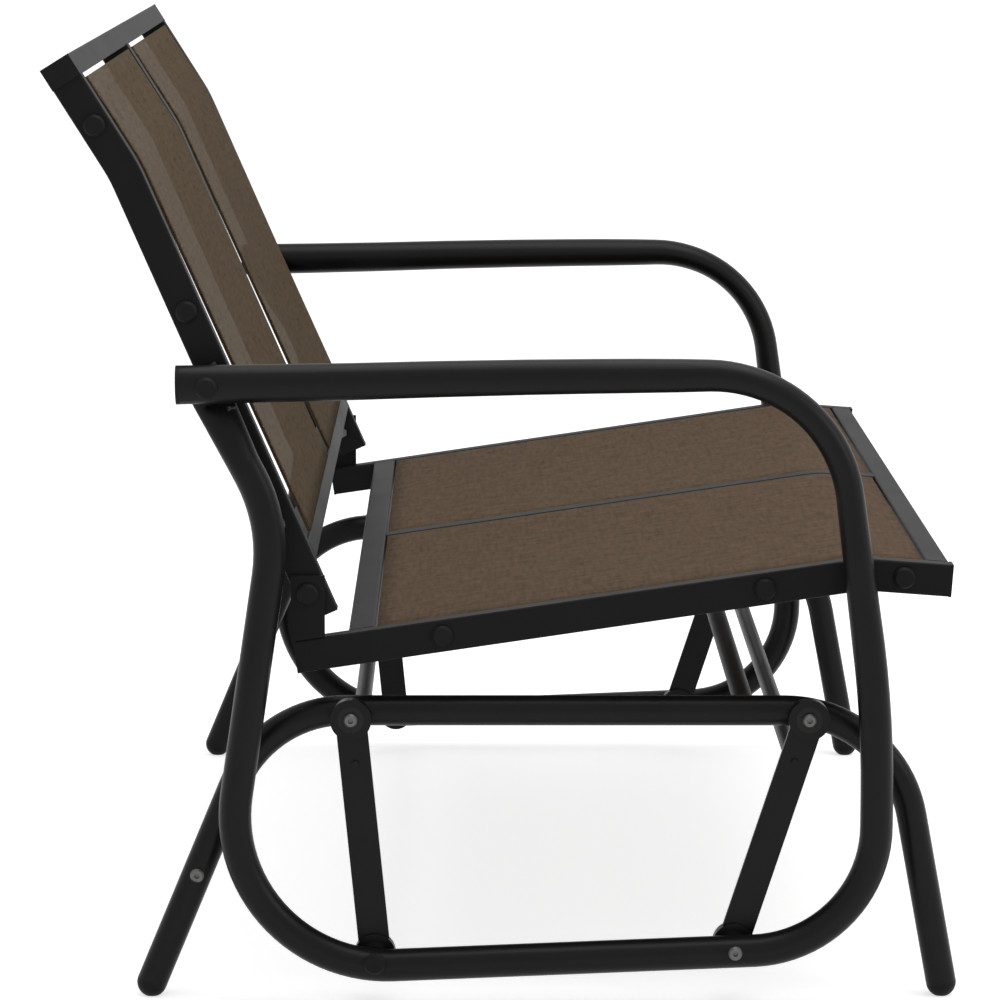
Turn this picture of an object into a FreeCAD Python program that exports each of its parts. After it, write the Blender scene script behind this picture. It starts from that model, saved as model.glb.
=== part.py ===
import FreeCAD, Part
import math
import os
import re
import Sketcher

# Two-seat glider bench. +X runs across the seat, the bench faces -Y, +Z is up,
# the floor is Z = 0 and the origin lies on it under the middle of the bench.
Vector = FreeCAD.Vector
Rotation = FreeCAD.Rotation
Placement = FreeCAD.Placement
ACROSS = Vector(1, 0, 0)

doc = FreeCAD.newDocument("GliderBench")
sheet = doc.addObject("Spreadsheet::Sheet", "Sizes")
sizes = {
    # Layers across one side, from the loop's centre plane inwards
    "loopplane": 581.0, "looptube": 30.0, "loopwall": 1.5, "outerwasher": 2.3,
    "innerwasher": 1.3, "facegap": 0.1, "bossthick": 12.0, "linkplate": 5.0,
    "basetube": 28.0, "basewall": 1.5, "seatspacer": 11.4, "postplate": 4.0,
    # Base side frame, its cross tube and foot plugs
    "footrear": 326.4, "bendrear": 220.1, "bendfront": -359.8, "footfront": -407.5,
    "footlevel": 12.4, "baselevel": 269.0, "baserearround": 111.6, "basefrontround": 120.4,
    "plugdepth": 20.0, "plugfit": 0.1, "crosstube": 19.0, "crosswall": 1.2, "crossplace": -224.0,
    "legboltlevel": 116.8,
    # Swing links and their pivots
    "pivotrear": 140.6, "pivotfront": -280.6, "pivotlevel": 265.0, "linklength": 221.0,
    "leanrear": 5.75, "leanfront": 18.05, "linkwide": 28.7, "bossround": 19.0,
    "bushround": 12.0, "bushfit": 0.03, "runfit": 0.08, "openfit": 1.6,
    "armtube": 16.0, "armtubewall": 1.2, "armtubedrop": 42.0, "armtubeend": 14.0,
    # Loop, one bent tube from the arm's rear end round to the back
    "armrear": 298.0, "armrearlevel": 577.3, "armfront": -299.2, "armfrontlevel": 587.6,
    "uprightfront": -341.6, "uprightlevel": 269.1, "bottomfront": -341.3, "bottomfrontlevel": 57.8,
    "bottomrear": 269.1, "bottomrearlevel": 32.8, "kneerear": 207.6, "kneedrop": 126.5,
    "tiprear": 272.0, "tipdrop": 3.8, "roundarm": 127.4, "roundupright": 1046.8,
    "roundfront": 116.1, "roundrear": 139.3, "roundknee": 152.4, "kneerun": 12.0,
    "pressrun": 62.0, "presshalf": 18.5, "tipover": 16.0,
    "armcapthick": 4.0, "armcapstem": 15.0,
    # Seat rails
    "railwide": 20.0, "raildeep": 30.0, "railwall": 1.5, "railround": 2.5,
    "seatrear": 189.0, "seatrearlevel": 322.2, "seatbend": -329.6, "seatbendlevel": 399.1,
    "seatfront": -408.6, "seatfrontlevel": 393.3, "seatround": 90.0, "midrail": 25.0,
    "rearrail": 25.0, "rearrailplace": 60.9, "rearraildeep": 25.0, "frontrail": 21.6,
    # Back rails
    "backlow": 167.5, "backlowlevel": 361.8, "backbend": 345.0, "backbendlevel": 767.9,
    "backtop": 407.2, "backtoplevel": 867.0, "backround": 150.0, "toprail": 22.0,
    "bottomrail": 20.0, "bottomraildeep": 25.0, "bottomrailplace": 55.4,
    # Posts between seat and back, and the plugs in open rail ends
    "postrear": 195.3, "postfront": 164.2, "posttop": 398.0,
    "postboltlevel": 380.8, "endcap": 2.5, "endstem": 12.0,
    # Sling panels, their edge strips and clips
    "slingthick": 1.6, "strip": 2.0, "stripwide": 18.0, "seatgap": 2.6, "seatedge": 3.0,
    "backgap": 15.0, "backproud": 2.6, "backedge": 4.5, "clipsheet": 2.0, "cliplong": 30.0,
    "clipreach": 12.0, "clipdown": 9.0, "seatclipone": 134.0, "seatcliptwo": 433.0,
    "seatclipthree": 42.0, "backclipone": 304.0, "backcliptwo": 67.5,
    # Fasteners
    "boltround": 4.0, "headround": 6.4, "headhigh": 4.2, "sockethole": 2.5, "nutround": 7.4,
    "nuthigh": 6.4, "washerround": 9.0, "boltfit": 0.1, "boltend": 2.0, "smallbolt": 3.0,
    "smallhead": 5.2, "smallheadhigh": 3.4, "smallnut": 5.7, "smallnuthigh": 5.0,
    "capround": 10.0, "caphigh": 5.0, "capinside": 5.9, "screwround": 2.0, "screwhead": 3.5,
    "screwheadhigh": 2.4, "screwdeep": 9.0, "armboltrear": 269.2, "armboltdrop": 1.3,
    "spacerround": 8.0, "backboltrear": 208.0, "backboltlevel": 445.0, "seatboltlevel": 398.0,
    "boltbite": 5.0, "threadfit": 0.03,
}
# Sizes that follow from others: the knee, tip and arm bolt hang from the arm's level
worked = {
    "kneelevel": "armrearlevel - kneedrop", "tiplevel": "armrearlevel - tipdrop",
    "armboltlevel": "armrearlevel - armboltdrop", "postboltrear": "(postrear + postfront) / 2",
}
names = list(sizes) + list(worked)
for row, name in enumerate(names, start=1):
    sheet.set("A%d" % row, name)
    sheet.set("B%d" % row, "=" + worked[name] if name in worked else repr(sizes[name]))
    sheet.setAlias("B%d" % row, name)
doc.recompute()


def linked(text):
    """An expression with the sheet's name put before each size."""
    return re.sub(r"[a-z]+", lambda m: "Sizes." + m.group() if m.group() in names else m.group(), text)


def value(text):
    answer = sheet.evalExpression(linked(text))
    return float(getattr(answer, "Value", answer))


def bind(thing, field, text):
    thing.setExpression(field, linked(text))


def bound(kind, name, **fields):
    """A primitive whose sizes are all tied to the sheet."""
    thing = doc.addObject(kind, name)
    for field, text in fields.items():
        setattr(thing, field, value(text))
        bind(thing, field, text)
    return thing


def place(thing, x, y, z, axis=ACROSS, angle="0"):
    """Puts a piece at (x, y, z), turned about an axis, all tied to the sheet."""
    thing.Placement = Placement(Vector(value(x), value(y), value(z)), Rotation(axis, value(angle)))
    for key, text in (("x", x), ("y", y), ("z", z)):
        bind(thing, "Placement.Base." + key, text)
    if re.search("[a-z]", angle):
        bind(thing, "Placement.Rotation.Angle", "(" + angle + ") * 1 deg")
    return thing


# Planes across the bench, worked from the loop inwards
LOOPOUT = "loopplane + looptube / 2"
LOOPIN = "loopplane - looptube / 2"
BOSSOUT = LOOPIN + " - outerwasher - 2 * facegap"
BOSSIN = BOSSOUT + " - bossthick"
LINKMID = BOSSOUT + " - bossthick / 2"
BASEOUT = BOSSIN + " - innerwasher - 2 * facegap"
BASEPLANE = BASEOUT + " - basetube / 2"
BASEIN = BASEOUT + " - basetube"
SEATOUT = LOOPIN + " - seatspacer"
SEATIN = SEATOUT + " - railwide"
BACKOUT = SEATOUT + " - postplate"
BACKIN = BACKOUT + " - railwide"

# Lower pivots, hung from the upper ones by the link's length and lean
REARLOWY = "pivotrear - linklength * sin(leanrear)"
REARLOWZ = "pivotlevel - linklength * cos(leanrear)"
FRONTLOWY = "pivotfront + linklength * sin(leanfront)"
FRONTLOWZ = "pivotlevel - linklength * cos(leanfront)"

# Slopes of the seat and back, as plain numbers of degrees
SEATPITCH = "(atan((seatbendlevel - seatrearlevel) / (seatrear - seatbend)) / 1 deg)"
NOSEPITCH = "(atan((seatbendlevel - seatfrontlevel) / (seatbend - seatfront)) / 1 deg)"
BACKLEAN = "(atan((backbend - backlow) / (backbendlevel - backlowlevel)) / 1 deg)"
HEADLEAN = "(atan((backtop - backbend) / (backtoplevel - backbendlevel)) / 1 deg)"


def on_seat(along, up="0"):
    """Point by the seat rail's centre line, from its rear end and up from the line."""
    return ("seatrear - (%s) * cos(%s) + (%s) * sin(%s)" % (along, SEATPITCH, up, SEATPITCH),
            "seatrearlevel + (%s) * sin(%s) + (%s) * cos(%s)" % (along, SEATPITCH, up, SEATPITCH))


def on_nose(along):
    """Point on the seat rail's short front run, measured back from its front end."""
    return ("seatfront + (%s) * cos(%s)" % (along, NOSEPITCH),
            "seatfrontlevel + (%s) * sin(%s)" % (along, NOSEPITCH))


def on_back(along, out="0"):
    """Point by the back rail's centre line, from its lower end and forward of the line."""
    return ("backlow + (%s) * sin(%s) - (%s) * cos(%s)" % (along, BACKLEAN, out, BACKLEAN),
            "backlowlevel + (%s) * cos(%s) + (%s) * sin(%s)" % (along, BACKLEAN, out, BACKLEAN))


def on_head(along):
    """Point on the back rail's upper run, measured down from the very top."""
    return ("backtop - (%s) * sin(%s)" % (along, HEADLEAN),
            "backtoplevel - (%s) * cos(%s)" % (along, HEADLEAN))


def new_body(label):
    body = doc.addObject("PartDesign::Body", label)
    body.Label = label
    return body


def flat_sketch(body, name, offset="0"):
    plane = [item for item in body.Origin.OriginFeatures if item.Role == "YZ_Plane"][0]
    sketch = body.newObject("Sketcher::SketchObject", name)
    sketch.AttachmentSupport = [(plane, "")]
    sketch.MapMode = "FlatFace"
    sketch.AttachmentOffset = Placement(Vector(0, 0, value(offset)), Rotation())
    if offset != "0":
        bind(sketch, "AttachmentOffset.Base.z", offset)
    return sketch


def dimension(sketch, kind, *args):
    """Adds a dimension whose last argument is an expression."""
    number = sketch.addConstraint(Sketcher.Constraint(kind, *args[:-1], value(args[-1])))
    bind(sketch, "Constraints[%d]" % number, args[-1])


def fix_point(sketch, geo, end, x, y):
    for kind, text in (("DistanceX", x), ("DistanceY", y)):
        if text == "0":
            line = -2 if kind == "DistanceX" else -1
            sketch.addConstraint(Sketcher.Constraint("PointOnObject", geo, end, line))
        else:
            dimension(sketch, kind, geo, end, text)


def arc_between(centre, radius, first, last):
    """The shorter arc between two points, always drawn anticlockwise."""
    start = math.atan2(first.y - centre.y, first.x - centre.x)
    sweep = (math.atan2(last.y - centre.y, last.x - centre.x) - start) % (2 * math.pi)
    if sweep > math.pi:
        start, sweep = start + sweep, 2 * math.pi - sweep
    return Part.ArcOfCircle(Part.Circle(centre, Vector(0, 0, 1), radius), start, start + sweep)


def bent_path(body, name, corners, rounds, offset="0"):
    """Straight runs through the corners, joined by tangent arcs."""
    sketch = flat_sketch(body, name, offset)
    points = [Vector(value(a), value(b), 0) for a, b in corners]
    ends = [points[0]]
    arcs = []
    for i, text in enumerate(rounds, start=1):
        back = (points[i - 1] - points[i]).normalize()
        ahead = (points[i + 1] - points[i]).normalize()
        half = back.getAngle(ahead) / 2
        radius = value(text)
        run = radius / math.tan(half)
        toward = (back + ahead).normalize()
        centre = points[i] + toward * (radius / math.sin(half))
        ends += [points[i] + back * run, points[i] + ahead * run]
        arcs.append(arc_between(centre, radius, ends[-2], ends[-1]))
    ends.append(points[-1])
    chain = []
    for i in range(len(points) - 1):
        chain.append(sketch.addGeometry(Part.LineSegment(ends[2 * i], ends[2 * i + 1]), False))
        if i < len(rounds):
            chain.append(sketch.addGeometry(arcs[i], False))

    def end_at(geo, point):
        item = sketch.Geometry[geo]
        return 1 if (item.StartPoint - point).Length < (item.EndPoint - point).Length else 2

    for i in range(len(chain) - 1):
        joint = ends[i + 1]
        first, second = chain[i], chain[i + 1]
        sketch.addConstraint(Sketcher.Constraint(
            "Tangent", first, end_at(first, joint), second, end_at(second, joint)))
    for i, text in enumerate(rounds, start=1):
        dimension(sketch, "Radius", chain[2 * i - 1], text)
        corner = sketch.addGeometry(Part.Point(points[i]), True)
        fix_point(sketch, corner, 1, *corners[i])
        for geo in (chain[2 * i - 2], chain[2 * i]):
            sketch.addConstraint(Sketcher.Constraint("PointOnObject", corner, 1, geo))
    fix_point(sketch, chain[0], 1, *corners[0])
    fix_point(sketch, chain[-1], 2, *corners[-1])
    doc.recompute()
    return sketch


def across_path(body, path, name, along=0.0, turn=0):
    """A sketch square to the path's first run."""
    sketch = body.newObject("Sketcher::SketchObject", name)
    sketch.AttachmentSupport = [(path, "Edge1")]
    sketch.MapMode = "NormalToEdge"
    sketch.MapPathParameter = along
    sketch.AttachmentOffset = Placement(Vector(), Rotation(Vector(0, 0, 1), turn))
    doc.recompute()
    return sketch


def flipped(sketch):
    """Minus where the sketch's x points away from the bench's left side."""
    return "-" if sketch.Placement.Rotation.multVec(ACROSS).x < 0 else ""


def add_circle(sketch, x, y, radius):
    geo = sketch.addGeometry(Part.Circle(Vector(value(x), value(y), 0), Vector(0, 0, 1), value(radius)), False)
    fix_point(sketch, geo, 3, x, y)
    dimension(sketch, "Radius", geo, radius)


def add_box(sketch, left, right, low, high):
    """A rectangle held by two opposite corners."""
    a, b, c, d = value(left), value(right), value(low), value(high)
    corners = [Vector(a, c, 0), Vector(b, c, 0), Vector(b, d, 0), Vector(a, d, 0)]
    lines = [sketch.addGeometry(Part.LineSegment(corners[i], corners[(i + 1) % 4]), False) for i in range(4)]
    for i in range(4):
        sketch.addConstraint(Sketcher.Constraint("Coincident", lines[i], 2, lines[(i + 1) % 4], 1))
        sketch.addConstraint(Sketcher.Constraint("Horizontal" if i % 2 == 0 else "Vertical", lines[i]))
    fix_point(sketch, lines[0], 1, left, low)
    fix_point(sketch, lines[2], 1, right, high)


def add_rounded_box(sketch, wide, deep):
    """A rectangle about the sketch's origin with rounded corners."""
    w, d, r = value(wide) / 2, value(deep) / 2, value("railround")
    k = r * (1 - math.sqrt(0.5))
    lines = []
    for a, b in (((r - w, -d), (w - r, -d)), ((w, r - d), (w, d - r)),
                 ((w - r, d), (r - w, d)), ((-w, d - r), (-w, r - d))):
        lines.append(sketch.addGeometry(Part.LineSegment(Vector(*a, 0), Vector(*b, 0)), False))
    arcs = []
    for a, b, c in (((w - r, -d), (w - k, k - d), (w, r - d)), ((w, d - r), (w - k, d - k), (w - r, d)),
                    ((r - w, d), (k - w, d - k), (-w, d - r)), ((-w, r - d), (k - w, k - d), (r - w, -d))):
        arcs.append(sketch.addGeometry(Part.Arc(Vector(*a, 0), Vector(*b, 0), Vector(*c, 0)), False))
    ends = {}
    for i in range(4):
        start = sketch.Geometry[lines[i]].EndPoint
        arc = sketch.Geometry[arcs[i]]
        ends[i] = (1, 2) if (arc.StartPoint - start).Length < (arc.EndPoint - start).Length else (2, 1)
    for i in range(4):
        sketch.addConstraint(Sketcher.Constraint("Tangent", lines[i], 2, arcs[i], ends[i][0]))
        sketch.addConstraint(Sketcher.Constraint("Tangent", arcs[i], ends[i][1], lines[(i + 1) % 4], 1))
        sketch.addConstraint(Sketcher.Constraint("Horizontal" if i % 2 == 0 else "Vertical", lines[i]))
        if i:
            sketch.addConstraint(Sketcher.Constraint("Equal", arcs[0], arcs[i]))
    dimension(sketch, "Radius", arcs[0], "railround")
    dimension(sketch, "DistanceX", -1, 1, lines[1], 1, "(" + wide + ") / 2")
    dimension(sketch, "DistanceX", lines[3], 1, -1, 1, "(" + wide + ") / 2")
    dimension(sketch, "DistanceY", -1, 1, lines[2], 1, "(" + deep + ") / 2")
    dimension(sketch, "DistanceY", lines[0], 1, -1, 1, "(" + deep + ") / 2")


def add_box_ring(sketch, wide, deep):
    add_rounded_box(sketch, wide, deep)
    add_box(sketch, "railwall - (%s) / 2" % wide, "(%s) / 2 - railwall" % wide,
            "railwall - (%s) / 2" % deep, "(%s) / 2 - railwall" % deep)


def add_oval(sketch, shift, tall, wide):
    """An ellipse on the sketch's upright line, moved sideways by the shift."""
    middle = value(shift)
    geo = sketch.addGeometry(Part.Ellipse(Vector(middle, value(tall), 0), Vector(middle + value(wide), 0, 0),
                                          Vector(middle, 0, 0)), False)
    sketch.exposeInternalGeometry(geo)
    fix_point(sketch, geo, 3, shift, "0")
    sketch.addConstraint(Sketcher.Constraint("Vertical", geo + 1))
    for line, kind, text in ((geo + 1, "DistanceY", tall), (geo + 2, "DistanceX", wide)):
        item = sketch.Geometry[line]
        start, end = (1, 2) if (item.EndPoint.x + item.EndPoint.y) > (item.StartPoint.x + item.StartPoint.y) else (2, 1)
        dimension(sketch, kind, line, start, line, end, "2 * (" + text + ")")


def pipe(body, path, profile):
    doc.recompute()
    feature = body.newObject("PartDesign::AdditivePipe", body.Name + "_pipe")
    feature.Profile = profile
    feature.Spine = (path, [])
    doc.recompute()
    return feature


def pad(body, sketch, length, midplane=False, reverse=False):
    feature = body.newObject("PartDesign::Pad", sketch.Name + "_pad")
    feature.Profile = sketch
    feature.Midplane = midplane
    feature.Reversed = reverse
    feature.Length = value(length)
    bind(feature, "Length", length)
    doc.recompute()
    return feature


def loft(body, name, sections):
    doc.recompute()
    feature = body.newObject("PartDesign::AdditiveLoft", name)
    feature.Profile = sections[0]
    feature.Sections = sections[1:]
    feature.Ruled = True
    doc.recompute()
    return feature


def drill(body, name, holes, start=None):
    """Round holes across the bench: right through, or inwards from a plane."""
    before = body.Shape.Volume
    sketch = flat_sketch(body, name, start or "0")
    for y, z, radius in holes:
        add_circle(sketch, y, z, radius)
    pocket = body.newObject("PartDesign::Pocket", name + "_cut")
    pocket.Profile = sketch
    pocket.Type = 1
    pocket.Midplane = start is None
    doc.recompute()
    if body.Shape.Volume >= before:
        raise RuntimeError(name + " cut nothing")
    return pocket


def round_ring(body, path, name, along, tube, wall):
    """A tube's section, its seam on the section's upright axis."""
    sketch = across_path(body, path, name, along, 90)
    add_circle(sketch, "0", "0", tube + " / 2")
    add_circle(sketch, "0", "0", tube + " / 2 - " + wall)
    return sketch


def round_tube(body, path, tube, wall):
    return pipe(body, path, round_ring(body, path, body.Name + "_profile", 0.0, tube, wall))


def box_tube(body, path, wide, deep):
    profile = across_path(body, path, body.Name + "_profile")
    add_box_ring(profile, wide, deep)
    return pipe(body, path, profile)


def flat_run(body, path, near, far, low, high):
    """A flat band along a path, from near to far across the bench."""
    profile = across_path(body, path, body.Name + "_profile")
    side = flipped(profile)
    if side:
        near, far = far, near
    add_box(profile, "%s(%s)" % (side, near), "%s(%s)" % (side, far), low, high)
    return pipe(body, path, profile)


def cross_tube(label, wide, deep, half, point, angle):
    """A straight rectangular tube across the bench, turned to its rails' slope."""
    body = new_body(label)
    sketch = flat_sketch(body, label + "_profile")
    add_box_ring(sketch, wide, deep)
    pad(body, sketch, "2 * (" + half + ")", midplane=True)
    place(body, "0", point[0], point[1], ACROSS, angle)
    return keep(body, label)


nodes = []


def keep(thing, label):
    thing.Label = label
    nodes.append(thing)
    return thing


def mirrored(thing, label):
    other = doc.addObject("Part::Mirroring", label)
    other.Source = thing
    other.Normal = ACROSS
    other.Base = Vector(0, 0, 0)
    return other


def keep_sides(body, stem):
    """The sitter's left piece (+X) and its mirror on the right (-X)."""
    keep(body, stem + "_left")
    keep(mirrored(body, stem + "_right"), stem + "_right")


def rod(name, x, y, z, length, radius):
    """A cylinder across the bench, starting at x."""
    return place(bound("Part::Cylinder", name, Radius=radius, Height=length), x, y, z, Vector(0, 1, 0), "90")


def bevel(name, x, y, z, length, radius, tip):
    """A short cone across the bench, for the rim of a cap or head."""
    cone = bound("Part::Cone", name, Radius1=radius, Radius2=tip, Height=length)
    return place(cone, x, y, z, Vector(0, 1, 0), "90")


def block(name, x, y, z, length, width, height):
    return place(bound("Part::Box", name, Length=length, Width=width, Height=height), x, y, z)


def fused(name, pieces):
    thing = doc.addObject("Part::MultiFuse", name)
    thing.Shapes = pieces
    thing.Refine = True
    return thing


def less(name, base, tool):
    thing = doc.addObject("Part::Cut", name)
    thing.Base = base
    thing.Tool = tool
    return thing


def together(name, pieces):
    thing = doc.addObject("Part::Compound", name)
    thing.Links = pieces
    return thing


def keep_pairs(label, pieces):
    """Loose pieces of the left side and their mirror, in one node."""
    group = together(label + "_left_half", pieces)
    keep(together(label, [group, mirrored(group, label + "_right_half")]), label)


def ring(name, x, y, z, length, outer, inner):
    return less(name, rod(name + "_rim", x, y, z, length, outer),
                rod(name + "_bore", "(" + x + ") - 1", y, z, "(" + length + ") + 2", inner))


def nut(name, x, y, z, length, radius, bore):
    prism = bound("Part::Prism", name + "_six", Circumradius=radius, Height=length)
    prism.Polygon = 6
    place(prism, x, y, z, Vector(0, 1, 0), "90")
    return less(name, prism, rod(name + "_bore", "(" + x + ") - 1", y, z, "(" + length + ") + 2",
                                  bore + " + threadfit"))


def socket_bolt(name, seat, reach, y, z):
    """A round-headed pivot bolt: the head bears at x = seat, the shank reaches inwards."""
    solid = fused(name + "_solid", [
        rod(name + "_shank", "(%s) - (%s)" % (seat, reach), y, z, reach, "boltround"),
        rod(name + "_head", seat, y, z, "headhigh * 0.6", "headround"),
        bevel(name + "_crown", seat + " + headhigh * 0.6", y, z, "headhigh * 0.4", "headround",
              "headround * 0.8")])
    return less(name, solid, rod(name + "_socket", seat + " + headhigh * 0.35", y, z, "headhigh", "sockethole"))


def plain_bolt(name, seat, reach, y, z, shank):
    """A cylinder-headed bolt whose head hides under a cap or behind a rail."""
    return fused(name, [rod(name + "_shank", "(%s) - (%s)" % (seat, reach), y, z, reach, shank),
                        rod(name + "_head", seat, y, z, "smallheadhigh", "smallhead")])


def cap(name, seat, y, z):
    """A black cap pushed over a bolt's head."""
    shell = fused(name + "_shell", [
        rod(name + "_skirt", seat, y, z, "caphigh * 0.6", "capround"),
        bevel(name + "_crown", seat + " + caphigh * 0.6", y, z, "caphigh * 0.4", "capround", "capround * 0.8")])
    return less(name, shell, rod(name + "_room", seat + " - 1", y, z, "smallheadhigh + 1.2", "capinside"))


# Base side frame: one round tube bent into two legs and a top run, bored for the
# two upper pivots and for the bolt through the rear leg
LEGBOLTY = "footrear + (bendrear - footrear) * (legboltlevel - footlevel) / (baselevel - footlevel)"
base_side = new_body("base_side_left")
base_path = bent_path(base_side, "base_path", [
    ("footrear", "footlevel"), ("bendrear", "baselevel"), ("bendfront", "baselevel"),
    ("footfront", "footlevel")], ["baserearround", "basefrontround"], BASEPLANE)
round_tube(base_side, base_path, "basetube", "basewall")
drill(base_side, "base_holes", [
    ("pivotrear", "pivotlevel", "boltround + boltfit"),
    ("pivotfront", "pivotlevel", "boltround + boltfit"),
    (LEGBOLTY, "legboltlevel", "boltround + boltfit")])
keep_sides(base_side, "base_side")

# Cross tube between the two base sides, its ends hollowed to sit on their tubes
cross_length = "2 * (%s)" % BASEPLANE
cross_start = "-(%s)" % BASEPLANE
cross_hollow = less(
    "cross_hollow", rod("cross_outer", cross_start, "crossplace", "baselevel", cross_length, "crosstube / 2"),
    rod("cross_inner", cross_start, "crossplace", "baselevel", cross_length, "crosstube / 2 - crosswall"))
saddles = []
for tag, sign in (("left", ""), ("right", "-")):
    saddle = bound("Part::Cylinder", "saddle_" + tag, Radius="basetube / 2", Height="4 * crosstube")
    saddles.append(place(saddle, "%s(%s)" % (sign, BASEPLANE), "crossplace + 2 * crosstube",
                         "baselevel", ACROSS, "90"))
keep(less("base_cross_tube", cross_hollow, fused("saddles", saddles)), "base_cross_tube")

# Foot plugs: a stem pressed into each leg and a rounded end worn flat where it stands
feet = []
for tag, foot, bend in (("rear", "footrear", "bendrear"), ("front", "footfront", "bendfront")):
    ball = bound("Part::Sphere", "foot_ball_" + tag, Radius="basetube / 2")
    ball.Angle1 = -90
    ball.Angle2 = 0
    stem = bound("Part::Cylinder", "foot_stem_" + tag, Radius="basetube / 2 - basewall - plugfit",
                 Height="plugdepth")
    plug = fused("foot_plug_" + tag, [ball, stem])
    place(plug, BASEPLANE, foot, "footlevel", ACROSS, "(atan((%s - %s) / (baselevel - footlevel)) / 1 deg)" % (foot, bend))
    floor = block("floor_" + tag, "(%s) - 2 * basetube" % BASEPLANE, foot + " - 2 * basetube", "-basetube",
                  "4 * basetube", "4 * basetube", "basetube")
    feet.append(less("foot_" + tag, plug, floor))
keep_pairs("foot_plugs", feet)

# Upper pivot bolts pass the link's bush, a washer and the base tube, with a nut inside
upper_bolts, upper_nuts, upper_washers = [], [], []
for tag, y in (("rear", "pivotrear"), ("front", "pivotfront")):
    upper_bolts.append(socket_bolt(
        "upper_bolt_" + tag, BOSSOUT + " + facegap",
        "bossthick + innerwasher + 3 * facegap + basetube + nuthigh + boltend", y, "pivotlevel"))
    upper_nuts.append(nut("upper_nut_" + tag, BASEIN + " - nuthigh", y, "pivotlevel", "nuthigh",
                          "nutround", "boltround"))
    upper_washers.append(ring("upper_washer_" + tag, BASEOUT + " + facegap", y, "pivotlevel",
                              "innerwasher", "washerround", "boltround + boltfit"))
keep_pairs("upper_pivot_bolts", upper_bolts)
keep_pairs("upper_pivot_nuts", upper_nuts)
keep_pairs("upper_pivot_washers", upper_washers)
keep_pairs("leg_bolts", [socket_bolt("leg_bolt", BASEOUT, "basetube + nuthigh + boltend",
                                     LEGBOLTY, "legboltlevel")])
keep_pairs("leg_nuts", [nut("leg_nut", BASEIN + " - nuthigh", LEGBOLTY, "legboltlevel", "nuthigh",
                            "nutround", "boltround")])

# Swing links: a flat plate with a round boss welded at each pivot, a nylon bush in
# each boss, and one light tube across the bench that ties each pair of links
for tag, y, lean, low_y, low_z, low_bore in (
        ("front", "pivotfront", "leanfront", FRONTLOWY, FRONTLOWZ, "boltround + runfit"),
        ("rear", "pivotrear", "-leanrear", REARLOWY, REARLOWZ, "boltround + openfit")):
    link = new_body(tag + "_link_left")
    plate = flat_sketch(link, tag + "_link_plate")
    add_box(plate, "-linkwide / 2", "linkwide / 2", "-linklength", "0")
    pad(link, plate, "linkplate", midplane=True)
    bosses = flat_sketch(link, tag + "_link_bosses")
    add_circle(bosses, "0", "0", "bossround")
    add_circle(bosses, "0", "-linklength", "bossround")
    pad(link, bosses, "bossthick", midplane=True)
    drill(link, tag + "_link_bores", [
        ("0", "0", "bushround"), ("0", "-linklength", "bushround"),
        ("0", "-armtubedrop", "screwround + boltfit")])
    place(link, LINKMID, y, "pivotlevel", ACROSS, lean)
    keep_sides(link, tag + "_link")
    keep_pairs(tag + "_link_bushes", [
        ring(tag + "_bush_upper", BOSSIN, y, "pivotlevel", "bossthick", "bushround - bushfit",
             "boltround + runfit"),
        ring(tag + "_bush_lower", BOSSIN, low_y, low_z, "bossthick", "bushround - bushfit", low_bore)])
    tube_y = "%s + armtubedrop * sin(%s)" % (y, lean)
    tube_z = "pivotlevel - armtubedrop * cos(%s)" % lean
    tube_half = LINKMID + " - linkplate / 2"
    shell = rod(tag + "_tube_shell", "-(%s)" % tube_half, tube_y, tube_z, "2 * (%s)" % tube_half, "armtube / 2")
    void = rod(tag + "_tube_void", "armtubeend - (%s)" % tube_half, tube_y, tube_z,
               "2 * (%s) - 2 * armtubeend" % tube_half, "armtube / 2 - armtubewall")
    thread = rod(tag + "_tube_thread", "-1 - (%s)" % tube_half, tube_y, tube_z,
                 "2 * (%s) + 2" % tube_half, "screwround + threadfit")
    keep(less(tag + "_link_tube", shell, fused(tag + "_tube_inside", [void, thread])), tag + "_link_tube")
    keep_pairs(tag + "_link_screws", [fused(tag + "_screw", [
        rod(tag + "_screw_head", LINKMID + " + linkplate / 2", tube_y, tube_z, "screwheadhigh", "screwhead"),
        rod(tag + "_screw_shank", LINKMID + " - linkplate / 2 - screwdeep", tube_y, tube_z,
            "linkplate + screwdeep", "screwround")])])

# Loop: one tube that makes the arm, both uprights and the lower run. The rear
# upright's tip is pressed flat and stepped inwards, so that it lies between the arm
# and the back rail.
ARMRISE = "(atan((armfrontlevel - armrearlevel) / (armrear - armfront)) / 1 deg)"
KNEELEAN = "(atan((tiprear - kneerear) / (tiplevel - kneelevel)) / 1 deg)"
KNEETURN = "(atan((bottomrear - kneerear) / (kneelevel - bottomrearlevel)) / 1 deg) + " + KNEELEAN
KNEEEND = "roundknee * tan((%s) / 2) + kneerun" % KNEETURN
TIPHALF = "(seatspacer + postplate) / 2"
TIPSHIFT = "(looptube + seatspacer + postplate) / 2"


def past_knee(along):
    return ("kneerear + (%s) * sin(%s)" % (along, KNEELEAN), "kneelevel + (%s) * cos(%s)" % (along, KNEELEAN))


loop = new_body("loop_left")
loop_path = bent_path(loop, "loop_path", [
    ("armrear", "armrearlevel"), ("armfront", "armfrontlevel"), ("uprightfront", "uprightlevel"),
    ("bottomfront", "bottomfrontlevel"), ("bottomrear", "bottomrearlevel"),
    ("kneerear", "kneelevel"), past_knee(KNEEEND)],
    ["roundarm", "roundupright", "roundfront", "roundrear", "roundknee"], "loopplane")
round_tube(loop, loop_path, "looptube", "loopwall")


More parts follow.
